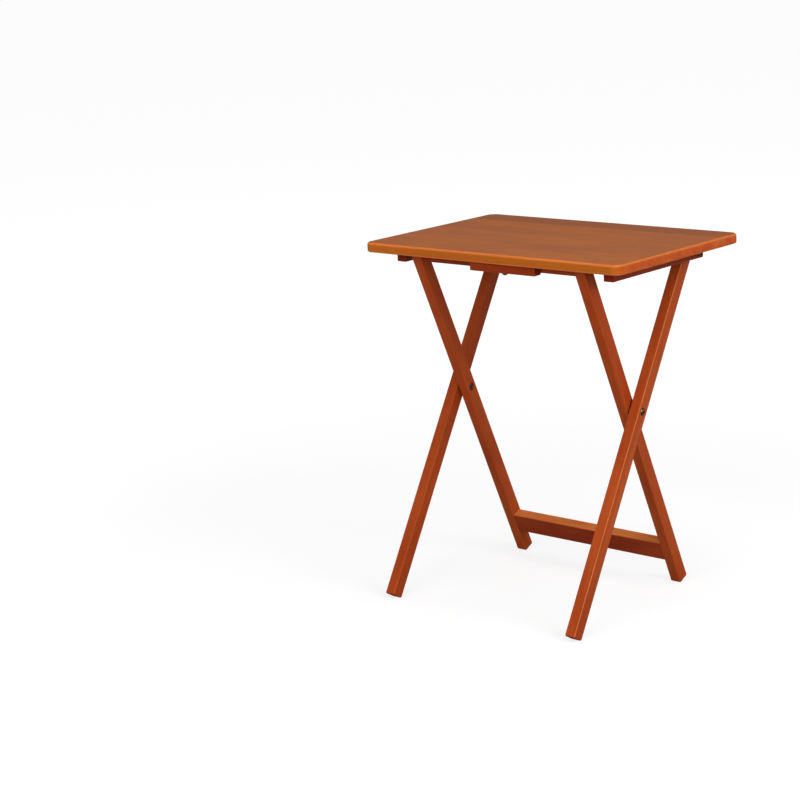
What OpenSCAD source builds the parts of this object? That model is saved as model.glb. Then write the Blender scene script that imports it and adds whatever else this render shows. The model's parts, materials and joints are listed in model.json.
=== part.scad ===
// Folding tray table: a wooden top on two pairs of crossed legs.
// +Z is up and +Y points to the back edge, where the top hinges on the outer legs.
// The origin lies on the floor under the scissor pivots, at the centre of the table's box.

/* [Top] */
// Width of the top, from left to right
top_w = 565; // [540:1:620]
// Depth of the top, from front to back
top_d = 386; // [370:1:390]
// Thickness of the top
top_t = 18; // [16:1:22]
// Corner radius of the top, seen from above
top_corner_r = 19; // [6:1:30]

/* [Stance] */
// Height of the top surface above the floor
table_h = 660; // [640:1:668]
// Height of the scissor pivots above the floor
pivot_h = 366.6; // [363:0.1:375]
// Lean of the outer legs from vertical
outer_lean = 30.4; // [28:0.1:31]
// Lean of the inner legs from vertical
inner_lean = 24.5; // [22:0.1:26]

/* [Legs] */
// Leg width, from left to right
leg_w = 21; // [19:0.5:23]
// Leg depth, in the plane that the legs fold in
leg_d = 25; // [23:0.5:26]
// Distance of the outer legs' centres from the middle
outer_x = 205.5; // [200:0.5:210]
// Gap between an outer leg and the inner leg or cleat beside it
side_gap = 3.5; // [3:0.1:5]
// Radius on the ends of the feet
foot_r = 3.5; // [1:0.5:6]

/* [Rails] */
// Height of the lower stretcher, along the leg
stretcher_h = 40; // [30:1:50]
// Thickness of the lower stretcher
stretcher_t = 20.5; // [15:0.5:22]
// Distance of the stretcher's centre line below the pivot, along the leg
stretcher_drop = 326; // [280:1:340]
// Diameter of the round crossbar under the top
crossbar_dia = 13; // [11:0.5:14]
// Depth of the crossbar's centre line below the top's underside
crossbar_drop = 9.5; // [9:0.1:10.5]

/* [Cleats and catch] */
// Cleat width, from left to right
cleat_w = 20.5; // [18:0.5:24]
// Cleat height below the top's underside
cleat_h = 21; // [20:0.5:26]
// Cleat length, from front to back
cleat_len = 283; // [280:0.5:300]
// Distance from the top's front edge to the front end of a cleat
cleat_inset = 45.5; // [41:0.5:50]
// Depth of the hinge bolts below the top's underside
hinge_drop = 13.6; // [13.3:0.1:14]
// Length of the catch block
catch_len = 142; // [100:1:180]
// Depth of the catch block, from front to back
catch_d = 20; // [16:0.5:24]
// Height of the catch block
catch_h = 18; // [16:0.5:22]
// Distance of the catch block's centre to the right of the middle
catch_x = 24; // [0:1:40]

/* [Hardware] */
// Diameter of the pivot and hinge bolts
bolt_dia = 6; // [5:0.5:6.5]
// Diameter of the bolt heads
head_dia = 12.6; // [10:0.1:13]
// Thickness of the bolt heads
head_t = 3.6; // [3:0.1:4]
// Size of the nuts across flats
nut_flats = 10; // [8:0.5:10]
// Thickness of the nuts
nut_t = 5; // [4:0.5:5]
// Diameter of the washers
washer_dia = 16; // [12:0.5:18]
// Diameter of the wooden dowels in the stretcher joints
dowel_dia = 8; // [6:0.5:9]
// Length of the wooden dowels
dowel_len = 34; // [24:1:36]

/* [Hidden] */
$fn = 64;
eps = 0.01;

// Clearances
run_gap = 0.05;        // radial gap of a bolt, screw or dowel in its bore
rest_gap = 0.5;        // between the inner legs' tops and the underside of the top
stop_gap = 0.4;        // between the crossbar and the catch block
washer_gap = 0.4;      // between a washer and the leg that slides past it
nut_gap = 0.7;         // between a nut and the floor of its counterbore
nut_inset = 2.5;       // how far a nut sits inside the face of its leg
head_room = 1.2;       // radial gap round a bolt head in its counterbore
nut_room = 2.5;        // radial gap round a nut's flats in its counterbore
tip_gap = 0.3;         // between a screw's tip and the end of its bore
end_gap = 0.5;         // between a dowel or crossbar end and the end of its bore
cut = 1;               // how far a cutter runs past the face it opens

// Heights
under_z = table_h - top_t;

// Distances along the leg from the pivot
hinge_up = (under_z - hinge_drop - pivot_h) / cos(outer_lean);
crossbar_up = (under_z - crossbar_drop - pivot_h) / cos(inner_lean);
foot_half = leg_d / 2 - foot_r;
outer_down = (pivot_h - foot_r - foot_half * sin(outer_lean)) / cos(outer_lean) + foot_r;
inner_down = (pivot_h - foot_r - foot_half * sin(inner_lean)) / cos(inner_lean) + foot_r;

// The outer feet reach as far forward as the top's back edge reaches back
foot_reach = (outer_down - foot_r) * sin(outer_lean) + foot_half * cos(outer_lean) + foot_r;
top_back = foot_reach;
top_front = top_back - top_d;
board_count = 6;       // boards glued edge to edge, numbered from the front
board_d = top_d / board_count;

// Side to side
outer_face = outer_x + leg_w / 2;
outer_in_face = outer_x - leg_w / 2;   // the outer leg's face towards the middle
inner_x = outer_x - leg_w - side_gap;
inner_face = inner_x - leg_w / 2;
cleat_in = outer_face + side_gap;
cleat_out = cleat_in + cleat_w;

// Front to back
hinge_y = hinge_up * sin(outer_lean);
hinge_z = under_z - hinge_drop;
crossbar_y = -crossbar_up * sin(inner_lean);
catch_back = crossbar_y - crossbar_dia / 2 - stop_gap;
cleat_front = top_front + cleat_inset;

// Counterbores
head_seat = 2.2;       // depth of the pivot heads' counterbore
head_bore_dia = head_dia + 2 * head_room;
nut_bore_dia = nut_flats + 2 * nut_room;
nut_bore_depth = nut_inset + nut_t + nut_gap;

// Small hardware
washer_t = side_gap - washer_gap;
crossbar_tenon = 14;   // how far the crossbar reaches into an inner leg
crossbar_tip = inner_face + crossbar_tenon;
dowel_spread = 10;     // from the stretcher's centre line to each dowel
screw_dia = 4;
screw_head_dia = 8;
screw_head_t = 2.5;
screw_seat_dia = 9;
screw_seat = 4;        // depth of a screw head's counterbore in a cleat
screw_bite = 11;       // how far a screw reaches into the top
first_screw = 30;      // from the front end of a cleat
screw_shares = [first_screw / cleat_len, 0.45, 0.72];   // along a cleat, clear of the hinge bolt
cleat_screw_y = [for (share = screw_shares) cleat_front + cleat_len * share];
catch_head_dia = 12;
catch_head_t = 5;
catch_y = catch_back - catch_d / 2;
catch_round_r = 3.5;
socket_dia = 5;
socket_depth = 2;

// Wood and metal colours
wood_top = [0.62, 0.35, 0.19];
wood_rail = [0.58, 0.25, 0.12];
wood_leg = [0.60, 0.27, 0.13];
steel = [0.70, 0.69, 0.66];

// --- placing ---

module on_side(side) {
    mirror([side < 0 ? 1 : 0, 0, 0]) children();
}

module along_outer_leg() {
    translate([0, 0, pivot_h]) rotate([-outer_lean, 0, 0]) children();
}

module along_inner_leg() {
    translate([0, 0, pivot_h]) rotate([inner_lean, 0, 0]) children();
}

// Stands a side view, drawn in (Y, Z), across the table from x to x + w
module side_plate(x, w) {
    translate([x, 0, 0]) rotate([90, 0, 90]) linear_extrude(w) children();
}

// A rod along X from x0 to x1
module rod(x0, x1, dia) {
    translate([x0, 0, 0]) rotate([0, 90, 0]) cylinder(h = x1 - x0, d = dia);
}

// --- top ---

module top_outline() {
    half_w = top_w / 2 - top_corner_r;
    translate([-half_w, top_front]) square([2 * half_w, top_d]);
    translate([-top_w / 2, top_front + top_corner_r]) square([top_w, top_d - 2 * top_corner_r]);
    for (x = [-half_w, half_w], y = [top_front + top_corner_r, top_back - top_corner_r])
        translate([x, y]) circle(r = top_corner_r);
}

module screw_bores(tip_room) {
    for (side = [-1, 1], y = cleat_screw_y)
        translate([side * (cleat_in + cleat_w / 2), y, under_z - cleat_h - eps])
            cylinder(h = cleat_h + screw_bite + tip_room, d = screw_dia + 2 * run_gap);
}

module catch_bore(tip_room) {
    translate([catch_x, catch_y, under_z - catch_h - eps])
        cylinder(h = catch_h + screw_bite + tip_room, d = screw_dia + 2 * run_gap);
}

module top_board(i) {
    color(wood_top) difference() {
        intersection() {
            translate([0, 0, under_z]) linear_extrude(top_t) top_outline();
            translate([-top_w, top_front + (i - 1) * board_d, under_z])
                cube([2 * top_w, board_d, top_t]);
        }
        screw_bores(tip_gap);
        catch_bore(tip_gap);
    }
}

// --- cleats ---

module cleat(side) {
    color(wood_rail) difference() {
        on_side(side) translate([cleat_in, cleat_front, under_z - cleat_h])
            cube([cleat_w, cleat_len, cleat_h]);
        screw_bores(0);
        on_side(side) {
            for (y = cleat_screw_y)
                translate([cleat_in + cleat_w / 2, y, under_z - cleat_h - eps])
                    cylinder(h = screw_seat, d = screw_seat_dia);
            translate([0, hinge_y, hinge_z])
                rod(cleat_in - cut, cleat_out + cut, bolt_dia + 2 * run_gap);
        }
    }
}

module cleat_screws(side) {
    shank = cleat_h - screw_seat + screw_head_t + screw_bite;
    color(steel) on_side(side) for (y = cleat_screw_y)
        translate([cleat_in + cleat_w / 2, y, under_z - cleat_h + screw_seat - screw_head_t]) {
            translate([0, 0, -eps]) cylinder(h = screw_head_t, d = screw_head_dia);
            cylinder(h = shank, d = screw_dia);
        }
}

// --- catch ---

module catch_block() {
    color(wood_rail) difference() {
        translate([catch_x, 0, 0]) side_plate(-catch_len / 2, catch_len)
            translate([catch_back - catch_d, under_z - catch_h]) {
                square([catch_d - catch_round_r, catch_h]);
                translate([0, catch_round_r]) square([catch_d, catch_h - catch_round_r]);
                translate([catch_d - catch_round_r, catch_round_r]) circle(r = catch_round_r);
            }
        catch_bore(0);
    }
}

// Round-headed screw that holds the catch block up against the top
module catch_screw() {
    color(steel) translate([catch_x, catch_y, under_z - catch_h]) {
        dome(catch_head_dia, catch_head_t, -1);
        translate([0, 0, -cut]) cylinder(h = catch_h + screw_bite + cut, d = screw_dia);
    }
}

// A domed head on the plane z = 0 that rises along Z, or hangs down where up is -1
module dome(dia, height, up) {
    ball_r = (dia * dia / 4 + height * height) / (2 * height);
    intersection() {
        translate([0, 0, up * (height - ball_r)]) sphere(r = ball_r, $fn = 96);
        translate([0, 0, up > 0 ? 0 : -height]) cylinder(h = height, d = dia);
    }
}

// --- legs ---

module foot_outline(down) {
    translate([-leg_d / 2, foot_r - down]) square([leg_d, down - foot_r]);
    translate([-foot_half, -down]) square([2 * foot_half, foot_r + eps]);
    for (y = [-foot_half, foot_half])
        translate([y, foot_r - down]) circle(r = foot_r);
}

module outer_leg(side) {
    color(wood_leg) on_side(side) difference() {
        along_outer_leg() side_plate(outer_in_face, leg_w) {
            foot_outline(outer_down);
            translate([-leg_d / 2, -eps]) square([leg_d, hinge_up + eps]);
            translate([0, hinge_up]) circle(d = leg_d);
        }
        along_outer_leg() {
            rod(outer_in_face - cut, outer_face + cut, bolt_dia + 2 * run_gap);
            rod(outer_face - head_seat, outer_face + cut, head_bore_dia);
            translate([0, 0, hinge_up]) {
                rod(outer_in_face - cut, outer_face + cut, bolt_dia + 2 * run_gap);
                rod(outer_in_face - cut, outer_in_face + nut_bore_depth, nut_bore_dia);
            }
        }
    }
}

// Height along the inner leg at which it meets the top's underside, at depth y across the leg
function inner_up(y) = (under_z - rest_gap - pivot_h - y * sin(inner_lean)) / cos(inner_lean);

module inner_leg(side) {
    color(wood_leg) on_side(side) difference() {
        along_inner_leg() side_plate(inner_face, leg_w) {
            foot_outline(inner_down);
            polygon([
                [-leg_d / 2, -eps],
                [leg_d / 2, -eps],
                [leg_d / 2, inner_up(leg_d / 2)],
                [-leg_d / 2, inner_up(-leg_d / 2)]
            ]);
        }
        along_inner_leg() {
            rod(inner_face - cut, inner_face + leg_w + cut, bolt_dia + 2 * run_gap);
            rod(inner_face - cut, inner_face + nut_bore_depth, nut_bore_dia);
            translate([0, 0, crossbar_up])
                rod(inner_face - cut, crossbar_tip + end_gap, crossbar_dia + 2 * run_gap);
        }
        stretcher_bores();
    }
}

module top_crossbar() {
    color(wood_rail) along_inner_leg() translate([0, 0, crossbar_up])
        rod(-crossbar_tip, crossbar_tip, crossbar_dia);
}

// --- lower stretcher ---

module along_stretcher() {
    along_inner_leg() translate([0, (stretcher_t - leg_d) / 2, -stretcher_drop]) children();
}

module stretcher_bores() {
    half = dowel_len / 2 + end_gap;
    along_stretcher() for (z = [-dowel_spread, dowel_spread])
        translate([0, 0, z]) rod(inner_face - half, inner_face + half, dowel_dia + 2 * run_gap);
}

module lower_stretcher() {
    color(wood_rail) difference() {
        along_stretcher() translate([-inner_face, -stretcher_t / 2, -stretcher_h / 2])
            cube([2 * inner_face, stretcher_t, stretcher_h]);
        for (side = [-1, 1])
            on_side(side) stretcher_bores();
    }
}

module stretcher_dowels(side) {
    color(wood_rail) on_side(side) along_stretcher() for (z = [-dowel_spread, dowel_spread])
        translate([0, 0, z]) rod(inner_face - dowel_len / 2, inner_face + dowel_len / 2, dowel_dia);
}

// --- bolts, washers and nuts, drawn along X about the bolt's axis ---

// The head sits on the plane x = seat and the shank ends at x = tip
module bolt(tip, seat) {
    difference() {
        union() {
            rod(tip, seat + eps, bolt_dia);
            translate([seat, 0, 0]) rotate([0, 90, 0]) dome(head_dia, head_t, 1);
        }
        translate([seat + head_t - socket_depth, 0, 0]) rotate([0, 90, 0])
            cylinder(h = socket_depth + cut, d = socket_dia, $fn = 6);
    }
}

module washer(x0) {
    difference() {
        rod(x0, x0 + washer_t, washer_dia);
        rod(x0 - cut, x0 + washer_t + cut, bolt_dia + 2 * run_gap);
    }
}

module nut(x0) {
    difference() {
        translate([x0, 0, 0]) rotate([0, 90, 0])
            cylinder(h = nut_t, d = nut_flats / cos(30), $fn = 6);
        rod(x0 - cut, x0 + nut_t + cut, bolt_dia + 2 * run_gap);
    }
}

module at_pivot(side) {
    color(steel) on_side(side) translate([0, 0, pivot_h]) children();
}

module at_hinge(side) {
    color(steel) on_side(side) translate([0, hinge_y, hinge_z]) children();
}

module pivot_bolt(side) {
    at_pivot(side) bolt(inner_face + nut_inset, outer_face - head_seat);
}

module pivot_washer(side) {
    at_pivot(side) washer(outer_in_face - washer_t);
}

module pivot_nut(side) {
    at_pivot(side) nut(inner_face + nut_inset);
}

module hinge_bolt(side) {
    at_hinge(side) bolt(outer_in_face + nut_inset, cleat_out + washer_gap);
}

module hinge_washer(side) {
    at_hinge(side) washer(cleat_in - washer_t);
}

module hinge_nut(side) {
    at_hinge(side) nut(outer_in_face + nut_inset);
}

top_board(1);  // top_board_1
top_board(2);  // top_board_2
top_board(3);  // top_board_3
top_board(4);  // top_board_4
top_board(5);  // top_board_5
top_board(6);  // top_board_6
cleat(-1);  // left_cleat
cleat(1);  // right_cleat
cleat_screws(-1);  // left_cleat_screws
cleat_screws(1);  // right_cleat_screws
catch_block();
catch_screw();
outer_leg(-1);  // left_outer_leg
outer_leg(1);  // right_outer_leg
inner_leg(-1);  // left_inner_leg
inner_leg(1);  // right_inner_leg
top_crossbar();
lower_stretcher();
stretcher_dowels(-1);  // left_stretcher_dowels
stretcher_dowels(1);  // right_stretcher_dowels
pivot_bolt(-1);  // left_pivot_bolt
pivot_bolt(1);  // right_pivot_bolt
pivot_washer(-1);  // left_pivot_washer
pivot_washer(1);  // right_pivot_washer
pivot_nut(-1);  // left_pivot_nut
pivot_nut(1);  // right_pivot_nut
hinge_bolt(-1);  // left_hinge_bolt
hinge_bolt(1);  // right_hinge_bolt
hinge_washer(-1);  // left_hinge_washer
hinge_washer(1);  // right_hinge_washer
hinge_nut(-1);  // left_hinge_nut
hinge_nut(1);  // right_hinge_nut
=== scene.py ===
"""Folding tray table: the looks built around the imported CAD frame. All sizes are in metres."""
import json
import math

import bmesh
import bpy
from mathutils import Matrix, Vector


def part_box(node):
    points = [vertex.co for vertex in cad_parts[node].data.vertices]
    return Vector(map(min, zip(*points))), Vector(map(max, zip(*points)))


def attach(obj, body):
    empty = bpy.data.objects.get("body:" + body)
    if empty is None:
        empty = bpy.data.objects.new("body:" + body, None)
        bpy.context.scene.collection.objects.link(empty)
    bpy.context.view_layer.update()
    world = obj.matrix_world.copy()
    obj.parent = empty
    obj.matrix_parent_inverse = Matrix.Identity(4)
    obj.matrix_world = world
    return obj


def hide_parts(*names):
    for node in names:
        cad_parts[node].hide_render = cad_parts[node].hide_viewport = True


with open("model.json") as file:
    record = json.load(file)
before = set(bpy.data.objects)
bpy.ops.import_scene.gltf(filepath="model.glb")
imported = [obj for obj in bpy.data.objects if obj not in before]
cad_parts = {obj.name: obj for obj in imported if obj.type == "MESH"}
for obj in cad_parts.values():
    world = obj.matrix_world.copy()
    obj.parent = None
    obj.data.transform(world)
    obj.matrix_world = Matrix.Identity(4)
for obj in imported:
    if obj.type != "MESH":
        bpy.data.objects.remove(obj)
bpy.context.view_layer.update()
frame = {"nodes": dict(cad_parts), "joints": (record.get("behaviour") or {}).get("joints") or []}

MM = 0.001
NODES = frame["nodes"]
JOINTS = {joint["name"]: joint for joint in frame["joints"]}

# ---------------------------------------------------------------- places read from the frame

PIVOT = Vector(JOINTS["leg_fold"]["pos_m"])
HINGE = Vector(JOINTS["top_tilt"]["pos_m"])
OUTER_LEAN = math.atan2(HINGE.y - PIVOT.y, HINGE.z - PIVOT.z)
INNER_LEAN = math.radians(JOINTS["leg_fold"]["range_deg"][1]) - OUTER_LEAN
ALONG_OUTER = Matrix.Translation(PIVOT) @ Matrix.Rotation(-OUTER_LEAN, 4, "X")
ALONG_INNER = Matrix.Translation(PIVOT) @ Matrix.Rotation(INNER_LEAN, 4, "X")
UPRIGHT = Matrix.Identity(4)
BOARDS = [name for name in sorted(NODES) if name.startswith("top_board_")]
TOP_LOW = Vector(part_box(BOARDS[0])[0])
TOP_HIGH = Vector(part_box(BOARDS[-1])[1])
HINGE_UP = (HINGE - PIVOT).length

# Edge rounding of each kind of piece
TOP_CORNER = 19 * MM
TOP_UPPER_EDGE = 4.5 * MM
TOP_LOWER_EDGE = 3 * MM
LEG_EDGE = 2 * MM
FOOT_ROUND = 3.5 * MM
RAIL_EDGE = 1.8 * MM
CLEAT_EDGE = 1.5 * MM
LEG_TIP = 1 * MM
CROSSBAR_EDGE = 0.6 * MM
CATCH_EDGE = 1.2 * MM
CATCH_NOSE = 3.5 * MM
GLUED_EDGE = 0.3 * MM
FLAT_MARGIN = 0.6 * MM      # from a rounded rim to the ring that marks where its wear ends
TINY = 0.02 * MM            # smallest radius or distance that counts

# Bolt holes, measured from the hardware that sits in them
BOLT_LOW, BOLT_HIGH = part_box("right_pivot_bolt")
HEAD_R = (BOLT_HIGH.z - BOLT_LOW.z) / 2
HEAD_ROOM = 1.2 * MM
HEAD_RECESS_R = HEAD_R + HEAD_ROOM
NUT_LOW, NUT_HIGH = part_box("right_pivot_nut")
NUT_ROOM = 1.9 * MM
NUT_RECESS_R = (NUT_HIGH.z - NUT_LOW.z) / 2 + NUT_ROOM
NUT_SINK = 0.7 * MM
NUT_RECESS_DEPTH = NUT_HIGH.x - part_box("right_inner_leg")[0].x + NUT_SINK
HEAD_RECESS_DEPTH = 2.2 * MM
RIM = 0.5 * MM
CUT = 2 * MM                # how far a cutter stands out of the face it opens

# Screws under the cleats
SCREW_SEAT = 4 * MM
SCREW_PLAY = 0.5 * MM
SCREW_GAP = 20 * MM

# Tone of each board, from the front; a higher tone is lighter. The back board is much darker.
BOARD_TONES = [0.20, 0.05, 0.15, 0.0, 0.10, -1.2]


def local_box(node, place):
    """Lowest and highest corner of a CAD node in the axes of place."""
    back = place.inverted()
    points = [back @ v.co for v in NODES[node].data.vertices]
    low = Vector([min(p[k] for p in points) for k in range(3)])
    high = Vector([max(p[k] for p in points) for k in range(3)])
    return low, high


# ---------------------------------------------------------------- mesh building

def rectangle(u0, v0, u1, v1):
    return [(u0, v0), (u1, v0), (u1, v1), (u0, v1)]


def outline(corners, radii, inset, steps):
    """A convex outline with round corners, moved inwards by inset: (u, v, wear). Only small corners wear."""
    points = []
    count = len(corners)
    for i in range(count):
        worn = radii[i] < TOP_CORNER / 2
        here = Vector(corners[i])
        into = (here - Vector(corners[i - 1])).normalized()
        out = (Vector(corners[(i + 1) % count]) - here).normalized()
        n_in = Vector((-into.y, into.x))
        n_out = Vector((-out.y, out.x))
        spread = (n_in + n_out) / (1 + n_in.dot(n_out))
        radius = max(radii[i] - inset, TINY)
        centre = here + spread * (inset + radius)
        start = math.atan2(-n_in.y, -n_in.x)
        turn = into.angle_signed(out) * -1
        for k in range(steps + 1):
            part = k / steps
            angle = start + turn * part
            u = centre.x + radius * math.cos(angle)
            v = centre.y + radius * math.sin(angle)
            points.append((u, v, math.sin(math.pi * part) if worn else 0.0))
    return points


def edge_rings(w0, w1, r0, r1, steps):
    """Rings of a plate from w0 to w1 whose rims are rounded by r0 and r1: (inset, w, rim wear, corner wear).

    The first and last ring lie on the flat faces, so that wear on the rims doesn't spread over them."""
    rings = [(r0 + FLAT_MARGIN, w0, 0.0, 0.0)]
    for k in range(steps + 1):
        a = math.pi / 2 * k / steps
        rings.append((r0 * (1 - math.sin(a)), w0 + r0 * (1 - math.cos(a)), math.sin(2 * a), math.sin(a)))
    for k in range(steps + 1):
        a = math.pi / 2 * k / steps
        rings.append((r1 * (1 - math.cos(a)), w1 - r1 * (1 - math.sin(a)), math.sin(2 * a), math.cos(a)))
    rings.append((r1 + FLAT_MARGIN, w1, 0.0, 0.0))
    return rings


def plate(name, corners, radii, w0, w1, r0, r1, axes, steps=6, arc_steps=8):
    """A plate with rounded rims. axes gives the local axis of u, v and w, such as "yzx"."""
    mesh = bpy.data.meshes.new(name)
    bm = bmesh.new()
    wear_and_painted_light = bm.verts.layers.float.new("wear_and_painted_light")
    order = ["xyz".index(axis) for axis in axes]
    loops = []
    for inset, w, rim_wear, corner_wear in edge_rings(w0, w1, r0, r1, steps):
        loop = []
        for u, v, arc_wear in outline(corners, radii, inset, arc_steps):
            place = [0.0, 0.0, 0.0]
            for axis, value in zip(order, (u, v, w)):
                place[axis] = value
            vert = bm.verts.new(place)
            vert[wear_and_painted_light] = max(rim_wear, arc_wear * corner_wear)
            loop.append(vert)
        loops.append(loop)
    for low, high in zip(loops, loops[1:]):
        for k in range(len(low)):
            n = (k + 1) % len(low)
            bm.faces.new((low[k], low[n], high[n], high[k]))
    bm.faces.new(list(reversed(loops[0])))
    bm.faces.new(loops[-1])
    bmesh.ops.remove_doubles(bm, verts=bm.verts, dist=TINY / 4)
    bmesh.ops.recalc_face_normals(bm, faces=bm.faces)
    bm.to_mesh(mesh)
    bm.free()
    return link(name, mesh)


def revolve(name, profile, segments=48):
    """A closed solid turned about X through (x, radius) points."""
    mesh = bpy.data.meshes.new(name)
    bm = bmesh.new()
    loops = []
    for x, radius in profile:
        loop = []
        for k in range(segments):
            angle = 2 * math.pi * k / segments
            loop.append(bm.verts.new((x, radius * math.cos(angle), radius * math.sin(angle))))
        loops.append(loop)
    for low, high in zip(loops, loops[1:]):
        for k in range(segments):
            n = (k + 1) % segments
            bm.faces.new((low[k], low[n], high[n], high[k]))
    bm.faces.new(list(reversed(loops[0])))
    bm.faces.new(loops[-1])
    bmesh.ops.recalc_face_normals(bm, faces=bm.faces)
    bm.to_mesh(mesh)
    bm.free()
    return link(name, mesh)


def link(name, mesh):
    piece = bpy.data.objects.new(name, mesh)
    bpy.context.scene.collection.objects.link(piece)
    return piece


def apply_modifiers(piece):
    bpy.context.view_layer.update()
    shown = piece.evaluated_get(bpy.context.evaluated_depsgraph_get())
    mesh = bpy.data.meshes.new_from_object(shown)
    piece.modifiers.clear()
    old = piece.data
    piece.data = mesh
    bpy.data.meshes.remove(old)


def cut(piece, *cutters):
    """Takes the cutters out of the piece."""
    for cutter in cutters:
        step = piece.modifiers.new("cut", "BOOLEAN")
        step.operation = "DIFFERENCE"
        step.solver = "EXACT"
        step.object = cutter
    apply_modifiers(piece)
    for cutter in cutters:
        bpy.data.objects.remove(cutter)


def smooth(piece, angle=40):
    """Rounded edges shade smoothly and flat faces stay flat."""
    piece.data.shade_smooth()
    piece.data.set_sharp_from_angle(angle=math.radians(angle))
    step = piece.modifiers.new("normals", "WEIGHTED_NORMAL")
    step.keep_sharp = True
    step.weight = 100
    apply_modifiers(piece)


def grain(piece, along, seed, tone, wear_and_painted_light=1.0, painted_top_light=0.0, painted_highlight_edge=None, seams=()):
    """Gives each vertex its place in the wood, its wear and painted light, and how far it shows end grain.

    The edge facing the highlight direction gets a painted highlight, and faces turned up get painted top
    light.
    seams are the y of its glue joints, whose faces are left out when end grain is looked for."""
    axis = "xyz".index(along)
    across = [k for k in range(3) if k != axis]
    shift = Vector((math.sin(seed * 12.9), math.sin(seed * 7.3), math.sin(seed * 3.1) * 5))
    mesh = piece.data
    kinds = {"wear_and_painted_light": "FLOAT", "tone": "FLOAT", "end_grain": "FLOAT", "grain": "FLOAT_VECTOR"}
    for name, kind in kinds.items():
        if name not in mesh.attributes:
            mesh.attributes.new(name, kind, "POINT")
    # a corner of a long side face isn't end grain, so the least of the faces round a vertex counts
    ends = [1.0] * len(mesh.vertices)
    for face in mesh.polygons:
        if any(abs(face.center.y - y) < TINY for y in seams):
            continue
        for index in face.vertices:
            ends[index] = min(ends[index], face.normal[axis] ** 2)
    places = []
    for vert in mesh.vertices:
        places += [vert.co[across[0]] + shift.x, vert.co[across[1]] + shift.y, vert.co[axis] + shift.z]
    mesh.attributes["grain"].data.foreach_set("vector", places)
    mesh.attributes["end_grain"].data.foreach_set("value", ends)
    mesh.attributes["tone"].data.foreach_set("value", [tone] * len(mesh.vertices))
    # Painted highlight: the edge facing the highlight direction is made as light as a fully worn edge.
    highlight_facing = Vector(painted_highlight_edge).normalized() if painted_highlight_edge else Vector((0, 0, 0))
    worn = []
    for entry, vert in zip(mesh.attributes["wear_and_painted_light"].data, mesh.vertices):
        edge_wear_and_highlight = entry.value * max(wear_and_painted_light, max(vert.normal.dot(highlight_facing), 0) ** 6)
        # Painted top light: faces turned up get the lighter edge colour.
        worn.append(max(edge_wear_and_highlight, painted_top_light * max(vert.normal.z, 0) ** 4))
    mesh.attributes["wear_and_painted_light"].data.foreach_set("value", worn)


def settle(piece, place, body, slot, material, *replaced):
    """Puts a finished wooden piece at its place in the row frame and ties it to the frame."""
    piece.data.transform(place)
    piece.data.materials.clear()
    piece.data.materials.append(material)
    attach(piece, body)
    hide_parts(*replaced)
    return piece


# ---------------------------------------------------------------- materials

# How strongly each pattern shows in the colour of wood
TONE_SHARE = 0.12
RING_SHARE = 0.14
FIBRE_SHARE = 0.12
PORE_SHARE = 0.26
END_SHARE = 0.85


class Nodes:
    """Short ways to add shader nodes to a new material."""

    def __init__(self, name):
        self.material = bpy.data.materials.new(name)
        self.material.use_nodes = True
        self.tree = self.material.node_tree
        self.shader = self.tree.nodes["Principled BSDF"]

    def add(self, kind, **settings):
        node = self.tree.nodes.new(kind)
        for key, value in settings.items():
            setattr(node, key, value)
        return node

    def join(self, source, target):
        self.tree.links.new(source, target)

    def attribute(self, name):
        return self.add("ShaderNodeAttribute", attribute_name=name)

    def stretch(self, vector, scale):
        node = self.add("ShaderNodeVectorMath", operation="MULTIPLY")
        self.join(vector, node.inputs[0])
        node.inputs[1].default_value = scale
        return node.outputs[0]

    def noise(self, vector, scale, detail=3.0, roughness=0.55, distortion=0.0):
        node = self.add("ShaderNodeTexNoise")
        self.join(vector, node.inputs["Vector"])
        node.inputs["Scale"].default_value = scale
        node.inputs["Detail"].default_value = detail
        node.inputs["Roughness"].default_value = roughness
        node.inputs["Distortion"].default_value = distortion
        return node.outputs["Fac"]

    def spread(self, value, low, high, to_low=0.0, to_high=1.0):
        node = self.add("ShaderNodeMapRange")
        node.clamp = True
        self.join(value, node.inputs["Value"])
        node.inputs["From Min"].default_value = low
        node.inputs["From Max"].default_value = high
        node.inputs["To Min"].default_value = to_low
        node.inputs["To Max"].default_value = to_high
        return node.outputs["Result"]

    def maths(self, operation, first, second):
        node = self.add("ShaderNodeMath", operation=operation)
        for socket, value in zip(node.inputs, (first, second)):
            if isinstance(value, (int, float)):
                socket.default_value = value
            else:
                self.join(value, socket)
        return node.outputs[0]

    def weighted(self, *terms):
        """The sum of values times weights, given in pairs."""
        total = 0.0
        for value, weight in terms:
            total = self.maths("ADD", total, self.maths("MULTIPLY", value, weight))
        return total

    def mix(self, factor, first, second):
        node = self.add("ShaderNodeMix", data_type="RGBA")
        for socket, value in ((node.inputs[0], factor), (node.inputs[6], first), (node.inputs[7], second)):
            if isinstance(value, (int, float)):
                socket.default_value = value
            elif isinstance(value, tuple):
                socket.default_value = (*value, 1.0)
            else:
                self.join(value, socket)
        return node.outputs[2]

    def bump(self, height, distance, strength):
        node = self.add("ShaderNodeBump")
        node.inputs["Distance"].default_value = distance
        node.inputs["Strength"].default_value = strength
        self.join(height, node.inputs["Height"])
        self.join(node.outputs["Normal"], self.shader.inputs["Normal"])


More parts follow.
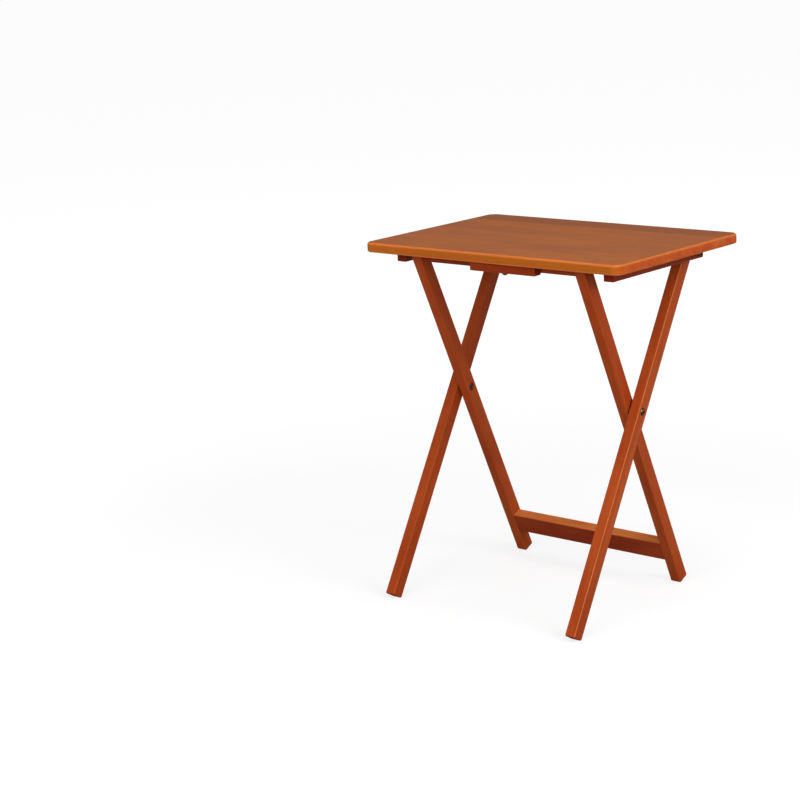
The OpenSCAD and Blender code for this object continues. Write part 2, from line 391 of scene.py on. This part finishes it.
def growth_rings(n, place):
    """Saw-toothed rings that wander slowly along the grain."""
    drift = n.noise(n.stretch(place, (1, 1, 0.22)), 7, detail=2.0, roughness=0.5)
    ring_place = n.add("ShaderNodeVectorMath", operation="ADD")
    n.join(n.stretch(place, (1, 1, 0.05)), ring_place.inputs[0])
    n.join(n.stretch(drift, (0.10, 0.07, 0.0)), ring_place.inputs[1])
    rings = n.add("ShaderNodeTexWave", wave_type="RINGS", rings_direction="Z", wave_profile="SAW")
    n.join(ring_place.outputs[0], rings.inputs["Vector"])
    rings.inputs["Scale"].default_value = 38
    rings.inputs["Distortion"].default_value = 2.2
    rings.inputs["Detail"].default_value = 2.0
    rings.inputs["Detail Scale"].default_value = 1.4
    return rings.outputs["Fac"]


def end_colour(n, place, middle, light, shade):
    """End grain drinks more stain, unevenly from pore to pore."""
    speck = n.noise(n.stretch(place, (1, 1, 0.3)), 420, roughness=0.65)
    blotch = n.noise(n.stretch(place, (1, 1, 0.3)), 60, detail=2.0, roughness=0.5)
    soak = n.spread(n.weighted((speck, 0.45), (blotch, 0.55)), 0.46, 0.62)
    red = (middle[0] * shade, middle[1] * shade * 0.52, middle[2] * shade * 0.80)
    pale = (light[0] * shade, light[1] * shade * 0.72, light[2] * shade * 0.90)
    return n.mix(soak, red, pale)


def varnish(n, coat):
    """A thin, slightly warm coat over the stain."""
    n.shader.inputs["Coat Weight"].default_value = coat
    n.shader.inputs["Coat Roughness"].default_value = 0.16
    n.shader.inputs["Coat Tint"].default_value = (1.0, 0.86, 0.70, 1.0)
    n.shader.inputs["IOR"].default_value = 1.5
    n.shader.inputs["Specular IOR Level"].default_value = 0.14
    n.shader.inputs["Specular Tint"].default_value = (1.0, 0.66, 0.36, 1.0)


def wood(name, dark, middle, light, edge, roughness, coat, figure_depth, end_shade):
    """Stained, varnished hardwood whose grain follows each piece's own grain places."""
    n = Nodes(name)
    place = n.attribute("grain").outputs["Vector"]
    wear_and_painted_light = n.attribute("wear_and_painted_light").outputs["Fac"]
    tone = n.attribute("tone").outputs["Fac"]
    end_grain = n.attribute("end_grain").outputs["Fac"]
    # clouds where the stain took more or less, then longer bands along the grain
    cloud = n.noise(n.stretch(place, (1, 1, 0.45)), 11, distortion=0.4)
    figure = n.noise(n.stretch(place, (1, 1, 0.10)), 26, detail=4.0, roughness=0.60, distortion=0.6)
    # fine fibres and short dark pores
    fibre = n.noise(n.stretch(place, (1, 1, 0.018)), 900, roughness=0.6)
    streak = n.noise(n.stretch(place, (1, 1, 0.035)), 230, roughness=0.6)
    pores = n.spread(n.noise(n.stretch(place, (1, 1, 0.07)), 1500, detail=1.0, roughness=0.5), 0.66, 0.74)
    pattern = n.maths("SUBTRACT", n.weighted((figure, 0.30), (streak, 0.20), (cloud, 0.50)), 0.5)
    stain = n.weighted((pattern, figure_depth), (tone, TONE_SHARE))
    colour = n.mix(n.spread(stain, -0.14, 0.04), dark, middle)
    colour = n.mix(n.spread(stain, 0.0, 0.22), colour, light)
    ring_dark = n.spread(growth_rings(n, place), 0.15, 1.0, 0.0, RING_SHARE * figure_depth)
    colour = n.mix(ring_dark, colour, dark)
    colour = n.mix(n.maths("MULTIPLY", n.spread(fibre, 0.35, 0.75), FIBRE_SHARE), colour, dark)
    colour = n.mix(n.maths("MULTIPLY", pores, PORE_SHARE), colour, tuple(c * 0.45 for c in dark))
    ends = end_colour(n, place, middle, light, end_shade)
    colour = n.mix(n.maths("MULTIPLY", end_grain, END_SHARE), colour, ends)
    # the stain is rubbed thin on worn edges, less so on end grain; the same mix also lays the painted
    # highlight and painted top light
    worn = n.maths("MULTIPLY", wear_and_painted_light, n.spread(streak, 0.25, 0.60, 0.45, 1.0))
    worn = n.maths("MULTIPLY", worn, n.spread(end_grain, 0.2, 0.8, 1.0, 0.25))
    colour = n.mix(worn, colour, edge)
    n.join(colour, n.shader.inputs["Base Color"])
    rough = n.spread(n.maths("ADD", fibre, cloud), 0.6, 1.4, roughness - 0.05, roughness + 0.08)
    rough = n.maths("ADD", rough, n.maths("MULTIPLY", end_grain, 0.14))
    n.join(rough, n.shader.inputs["Roughness"])
    n.bump(n.maths("SUBTRACT", n.maths("MULTIPLY", fibre, 0.5), pores), 0.05 * MM, 0.35)
    varnish(n, coat)
    return n.material


def metal(name, colour, shadow, roughness):
    """Plated steel with fine scuffs and slightly darker patches."""
    n = Nodes(name)
    place = n.add("ShaderNodeTexCoord").outputs["Object"]
    cloud = n.noise(place, 260, roughness=0.6)
    scuff = n.noise(n.stretch(place, (1, 1, 6)), 900, detail=2.0, roughness=0.5)
    n.join(n.mix(n.spread(cloud, 0.35, 0.70), shadow, colour), n.shader.inputs["Base Color"])
    n.join(n.spread(scuff, 0.30, 0.70, roughness - 0.06, roughness + 0.10), n.shader.inputs["Roughness"])
    n.bump(scuff, 0.03 * MM, 0.3)
    n.shader.inputs["Metallic"].default_value = 1.0
    return n.material


# The fourth colour is that of worn edges; for the leg and rail woods it is also the painted highlight and
# painted top light.
TOP_WOOD = wood("top_wood", (0.350, 0.084, 0.009), (0.480, 0.120, 0.013), (0.570, 0.155, 0.018),
                (0.740, 0.195, 0.046), 0.36, 0.02, 0.65, 0.95)
RAIL_WOOD = wood("rail_wood", (0.215, 0.021, 0.005), (0.320, 0.040, 0.008), (0.430, 0.068, 0.014),
                 (0.660, 0.190, 0.044), 0.42, 0.03, 0.8, 0.62)
LEG_WOOD = wood("leg_wood", (0.290, 0.036, 0.006), (0.410, 0.062, 0.011), (0.500, 0.096, 0.019),
                (0.540, 0.160, 0.046), 0.44, 0.03, 0.65, 0.8)
DOWEL_WOOD = wood("dowel_wood", (0.42, 0.25, 0.12), (0.56, 0.37, 0.20), (0.66, 0.47, 0.28),
                  (0.70, 0.52, 0.33), 0.60, 0.0, 1.0, 0.9)
BOLT_STEEL = metal("bolt_steel", (0.24, 0.17, 0.10), (0.050, 0.030, 0.018), 0.28)
ZINC_STEEL = metal("zinc_steel", (0.27, 0.22, 0.17), (0.100, 0.075, 0.055), 0.36)


# ---------------------------------------------------------------- the top

def build_top():
    """One round-edged panel, cut along its glue lines into its boards."""
    corners = rectangle(TOP_LOW.x, TOP_LOW.y, TOP_HIGH.x, TOP_HIGH.y)
    for number, node in enumerate(BOARDS):
        low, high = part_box(node)
        board = plate("board_%d" % (number + 1), corners, [TOP_CORNER] * 4, TOP_LOW.z, TOP_HIGH.z,
                      TOP_LOWER_EDGE, TOP_UPPER_EDGE, "xyz", steps=10, arc_steps=14)
        bm = bmesh.new()
        bm.from_mesh(board.data)
        sides = ((low.y, -1), (high.y, 1))
        joints = [(y, side) for y, side in sides if TOP_LOW.y + MM < y < TOP_HIGH.y - MM]
        for y, side in joints:
            everything = bm.verts[:] + bm.edges[:] + bm.faces[:]
            sliced = bmesh.ops.bisect_plane(bm, geom=everything, plane_co=(0, y, 0), plane_no=(0, side, 0),
                                            clear_outer=True)
            rim = [e for e in sliced["geom_cut"] if isinstance(e, bmesh.types.BMEdge)]
            bmesh.ops.holes_fill(bm, edges=rim)
        bmesh.ops.recalc_face_normals(bm, faces=bm.faces)
        bm.to_mesh(board.data)
        bm.free()
        grain(board, "x", seed=3.7 * number + 1.3, tone=BOARD_TONES[number % len(BOARD_TONES)],
              seams=[y for y, side in joints])
        smooth(board, 50)
        settle(board, UPRIGHT, "top", "top_wood", TOP_WOOD, node)


# ---------------------------------------------------------------- legs

def recess(x_face, x_floor, radius, at):
    """A round recess from the face at x_face in to x_floor, with a broken rim."""
    out = 1 if x_face > x_floor else -1
    points = [(x_floor, radius), (x_face - out * RIM, radius), (x_face, radius + RIM)]
    points.append((x_face + out * CUT, radius + RIM))
    cutter = revolve("recess", points)
    cutter.data.transform(Matrix.Translation((0, at[0], at[1])))
    return cutter


def build_leg(node, place, body, corners, radii, recesses, seed, tone, wear_and_painted_light, painted_highlight_edge=None):
    low, high = local_box(node, place)
    leg = plate(node + "_wood", corners(low, high), radii(low, high), low.x, high.x,
                LEG_EDGE, LEG_EDGE, "yzx")
    cut(leg, *recesses(low, high))
    grain(leg, "z", seed, tone, wear_and_painted_light, painted_highlight_edge=painted_highlight_edge)
    smooth(leg)
    settle(leg, place, body, "leg_wood", LEG_WOOD, node)


def outer_corners(low, high):
    return rectangle(low.y, low.z, high.y, high.z)


def outer_radii(low, high):
    """Small rounds at the foot and a half round at the hinge."""
    half = (high.y - low.y) / 2 - TINY
    return [FOOT_ROUND, FOOT_ROUND, half, half]


def inner_radii(low, high):
    return [FOOT_ROUND, FOOT_ROUND, LEG_TIP, LEG_TIP]


def inner_corners(low, high):
    """The top of an inner leg is cut level, to lie flat under the table top."""
    drop = (high.y - low.y) * math.tan(INNER_LEAN)
    return [(low.y, low.z), (high.y, low.z), (high.y, high.z - drop), (low.y, high.z)]


def faces(low, high):
    """The face away from the table's middle, then the face towards it, and the way out."""
    return (high.x, low.x, 1) if high.x > 0 else (low.x, high.x, -1)


def outer_recesses(low, high):
    away, towards, out = faces(low, high)
    head = recess(away, away - out * HEAD_RECESS_DEPTH, HEAD_RECESS_R, (0, 0))
    nut = recess(towards, towards + out * NUT_RECESS_DEPTH, NUT_RECESS_R, (0, HINGE_UP))
    return head, nut


def inner_recesses(low, high):
    away, towards, out = faces(low, high)
    return (recess(towards, towards + out * NUT_RECESS_DEPTH, NUT_RECESS_R, (0, 0)),)


def build_legs():
    for number, side in enumerate(("left", "right")):
        # The right outer leg gets a painted highlight along its edge facing front and right.
        painted_highlight_edge = (1, -1, 0) if side == "right" else None
        build_leg(side + "_outer_leg", ALONG_OUTER, "outer_legs", outer_corners, outer_radii, outer_recesses,
                  seed=5.1 + 2.3 * number, tone=-0.1 + 0.1 * number, wear_and_painted_light=0.10, painted_highlight_edge=painted_highlight_edge)
        build_leg(side + "_inner_leg", ALONG_INNER, "inner_legs", inner_corners, inner_radii, inner_recesses,
                  seed=9.4 + 1.9 * number, tone=0.0, wear_and_painted_light=0.06)


# ---------------------------------------------------------------- rails, cleats and catch

def build_bar(node, place, along, edge):
    """A straight rail with eased edges. Its section is the outline and its length runs along one axis."""
    low, high = local_box(node, place)
    axes = {"x": "yzx", "y": "zxy"}[along]
    u, v, w = ["xyz".index(axis) for axis in axes]
    corners = rectangle(low[u], low[v], high[u], high[v])
    return plate(node + "_wood", corners, [edge] * 4, low[w], high[w], edge / 2, edge / 2, axes)


def build_rails():
    stretcher = build_bar("lower_stretcher", ALONG_INNER, "x", RAIL_EDGE)
    # Painted top light: the stretcher's upper face is made lighter, as if lit from above.
    grain(stretcher, "x", seed=14.2, tone=-0.1, wear_and_painted_light=0.3, painted_top_light=1.0)
    smooth(stretcher)
    settle(stretcher, ALONG_INNER, "inner_legs", "rail_wood", RAIL_WOOD, "lower_stretcher")
    low, high = local_box("top_crossbar", ALONG_INNER)
    half = (high.y - low.y) / 2
    ends = [(low.x, half - CROSSBAR_EDGE), (low.x + CROSSBAR_EDGE, half)]
    ends += [(high.x - CROSSBAR_EDGE, half), (high.x, half - CROSSBAR_EDGE)]
    rod = revolve("crossbar_wood", ends, segments=64)
    rod.data.transform(Matrix.Translation((0, 0, (low.z + high.z) / 2)))
    grain(rod, "x", seed=17.7, tone=-0.1)
    smooth(rod, 35)
    settle(rod, ALONG_INNER, "inner_legs", "rail_wood", RAIL_WOOD, "top_crossbar")


def screw_places(node):
    """The centre of each screw in a node, found from gaps between its vertices, front to back."""
    spots = sorted(v.co.y for v in NODES[node].data.vertices)
    groups = [[spots[0]]]
    for y in spots[1:]:
        if y - groups[-1][-1] > SCREW_GAP:
            groups.append([])
        groups[-1].append(y)
    low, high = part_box(node)
    return [((low.x + high.x) / 2, (group[0] + group[-1]) / 2) for group in groups], (high.x - low.x) / 2


def screw_recess(x, y, z_face, depth, radius):
    """A round recess upwards from the face at z_face, with a broken rim."""
    points = [(-CUT, radius + RIM), (0, radius + RIM), (RIM, radius), (depth, radius)]
    cutter = revolve("recess", points)
    turn = Matrix.Rotation(-math.pi / 2, 4, "Y")
    cutter.data.transform(Matrix.Translation((x, y, z_face)) @ turn)
    return cutter


def build_cleats():
    for number, side in enumerate(("left", "right")):
        node = side + "_cleat"
        cleat = build_bar(node, UPRIGHT, "y", CLEAT_EDGE)
        places, head_r = screw_places(node + "_screws")
        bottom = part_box(node)[0].z
        cut(cleat, *[screw_recess(x, y, bottom, SCREW_SEAT, head_r + SCREW_PLAY) for x, y in places])
        grain(cleat, "y", seed=21.3 + 3.3 * number, tone=-0.5, wear_and_painted_light=0.3)
        smooth(cleat)
        settle(cleat, UPRIGHT, "top", "rail_wood", RAIL_WOOD, node)


def build_catch():
    low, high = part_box("catch_block")
    corners = rectangle(low.y, low.z, high.y, high.z)
    radii = [CATCH_EDGE, CATCH_NOSE, GLUED_EDGE, GLUED_EDGE]
    block = plate("catch_block_wood", corners, radii, low.x, high.x, CATCH_EDGE, CATCH_EDGE, "yzx")
    grain(block, "x", seed=27.9, tone=0.0, wear_and_painted_light=0.3)
    smooth(block)
    settle(block, UPRIGHT, "top", "rail_wood", RAIL_WOOD, "catch_block")


# ---------------------------------------------------------------- hardware that keeps its CAD shape

def finish_hardware():
    for name, node in NODES.items():
        material = None
        if "bolt" in name:
            material = BOLT_STEEL
        elif "nut" in name or "washer" in name or "screw" in name:
            material = ZINC_STEEL
        elif "dowels" in name:
            material = DOWEL_WOOD
        if material:
            node.data.materials.clear()
            node.data.materials.append(material)


# ---------------------------------------------------------------- studio

# Lamps: name, place, size, and power in watts
# The two fills light the sides that the camera doesn't see.
TABLE_MIDDLE = (0, 0, 0.4)
LAMPS = [
    ("overhead", (0.0, 0.2, 3.0), (3.0, 3.0), 26),
    ("back_left", (-2.0, 2.6, 2.0), (2.5, 2.0), 4),
    ("front_high", (0.0, -3.2, 2.4), (3.0, 1.5), 28),
    ("front_low", (0.5, -3.6, 1.3), (2.0, 1.2), 48),
    ("right_high", (3.0, -0.3, 2.4), (1.8, 1.8), 38),
    ("right_mid", (3.4, -0.3, 1.5), (1.8, 1.4), 28),
    ("front_right", (2.8, -2.2, 1.6), (2.0, 2.0), 30),
    ("left_fill", (-3.4, -0.8, 1.3), (2.0, 1.6), 16),
    ("back_fill", (1.8, 3.2, 1.1), (2.0, 1.4), 20),
]

# Room light from below and from above, and the floor's glow near the table and far from it
ROOM_LOW = 0.05
ROOM_HIGH = 0.12
GLOW_NEAR = 0.74
GLOW_FAR = 0.95
SKY_SEEN = 1.15
FLOOR_REACH = 60.0

# The camera, fitted to the photo: turn about Z, tilt down and roll in degrees
CAMERA_PLACE = (2.1477, -2.8845, 1.2384)
CAMERA_TURN = 40.912
CAMERA_DOWN = 13.551
CAMERA_ROLL = -2.529
SENSOR_WIDTH = 36.0
CAMERA_LENS = 90.26


def build_floor():
    """A plain floor. Its own colour is grey, and a glow that only the camera sees makes it look white."""
    mesh = bpy.data.meshes.new("floor")
    corners = rectangle(-FLOOR_REACH, -FLOOR_REACH, FLOOR_REACH, FLOOR_REACH)
    mesh.from_pydata([(x, y, 0) for x, y in corners], [], [(0, 1, 2, 3)])
    floor = link("floor", mesh)
    n = Nodes("floor_paper")
    place = n.add("ShaderNodeTexCoord").outputs["Object"]
    grey = n.mix(n.noise(place, 3, detail=2.0), (0.31, 0.31, 0.31), (0.34, 0.34, 0.34))
    n.join(grey, n.shader.inputs["Base Color"])
    n.shader.inputs["Roughness"].default_value = 1.0
    n.shader.inputs["Specular IOR Level"].default_value = 0.0
    n.shader.inputs["Emission Color"].default_value = (1.0, 1.0, 1.0, 1.0)
    away = n.add("ShaderNodeVectorMath", operation="LENGTH")
    n.join(place, away.inputs[0])
    glow = n.spread(away.outputs["Value"], 0.8, 3.0, GLOW_NEAR, GLOW_FAR)
    seen = n.add("ShaderNodeLightPath").outputs["Is Camera Ray"]
    n.join(n.maths("MULTIPLY", seen, glow), n.shader.inputs["Emission Strength"])
    mesh.materials.append(n.material)


def build_lights():
    """Soft rectangular lamps, all turned to the middle of the table."""
    for name, place, size, power in LAMPS:
        light = bpy.data.lights.new(name, "AREA")
        light.shape = "RECTANGLE"
        light.size, light.size_y = size
        light.energy = power
        lamp = bpy.data.objects.new(name, light)
        lamp.location = place
        lamp.rotation_euler = (Vector(TABLE_MIDDLE) - Vector(place)).to_track_quat("-Z", "Y").to_euler()
        bpy.context.scene.collection.objects.link(lamp)


def build_sky():
    """White where it is seen, and a soft room light that is brightest overhead."""
    world = bpy.data.worlds.new("studio")
    world.use_nodes = True
    tree = world.node_tree
    seen = tree.nodes["Background"]
    seen.inputs["Color"].default_value = (1.0, 1.0, 1.0, 1.0)
    seen.inputs["Strength"].default_value = SKY_SEEN
    room = tree.nodes.new("ShaderNodeBackground")
    way = tree.nodes.new("ShaderNodeSeparateXYZ")
    tree.links.new(tree.nodes.new("ShaderNodeTexCoord").outputs["Generated"], way.inputs[0])
    rise = tree.nodes.new("ShaderNodeMapRange")
    tree.links.new(way.outputs["Z"], rise.inputs["Value"])
    rise.inputs["To Min"].default_value = ROOM_LOW
    rise.inputs["To Max"].default_value = ROOM_HIGH
    tree.links.new(rise.outputs["Result"], room.inputs["Strength"])
    both = tree.nodes.new("ShaderNodeMixShader")
    tree.links.new(tree.nodes.new("ShaderNodeLightPath").outputs["Is Camera Ray"], both.inputs[0])
    tree.links.new(room.outputs[0], both.inputs[1])
    tree.links.new(seen.outputs[0], both.inputs[2])
    tree.links.new(both.outputs[0], tree.nodes["World Output"].inputs["Surface"])
    bpy.context.scene.world = world
    bpy.context.scene.view_settings.view_transform = "Standard"


def build_camera():
    """The camera stands in front and to the right, a little above the top, and looks slightly down."""
    camera = bpy.data.cameras.new("camera")
    camera.sensor_width = SENSOR_WIDTH
    camera.lens = CAMERA_LENS
    holder = bpy.data.objects.new("camera", camera)
    turn = Matrix.Rotation(math.radians(CAMERA_TURN), 4, "Z")
    tilt = Matrix.Rotation(math.pi / 2 - math.radians(CAMERA_DOWN), 4, "X")
    roll = Matrix.Rotation(math.radians(CAMERA_ROLL), 4, "Z")
    holder.matrix_world = Matrix.Translation(CAMERA_PLACE) @ turn @ tilt @ roll
    bpy.context.scene.collection.objects.link(holder)
    bpy.context.scene.camera = holder


build_top()
build_legs()
build_rails()
build_cleats()
build_catch()
finish_hardware()
build_floor()
build_lights()
build_sky()
build_camera()
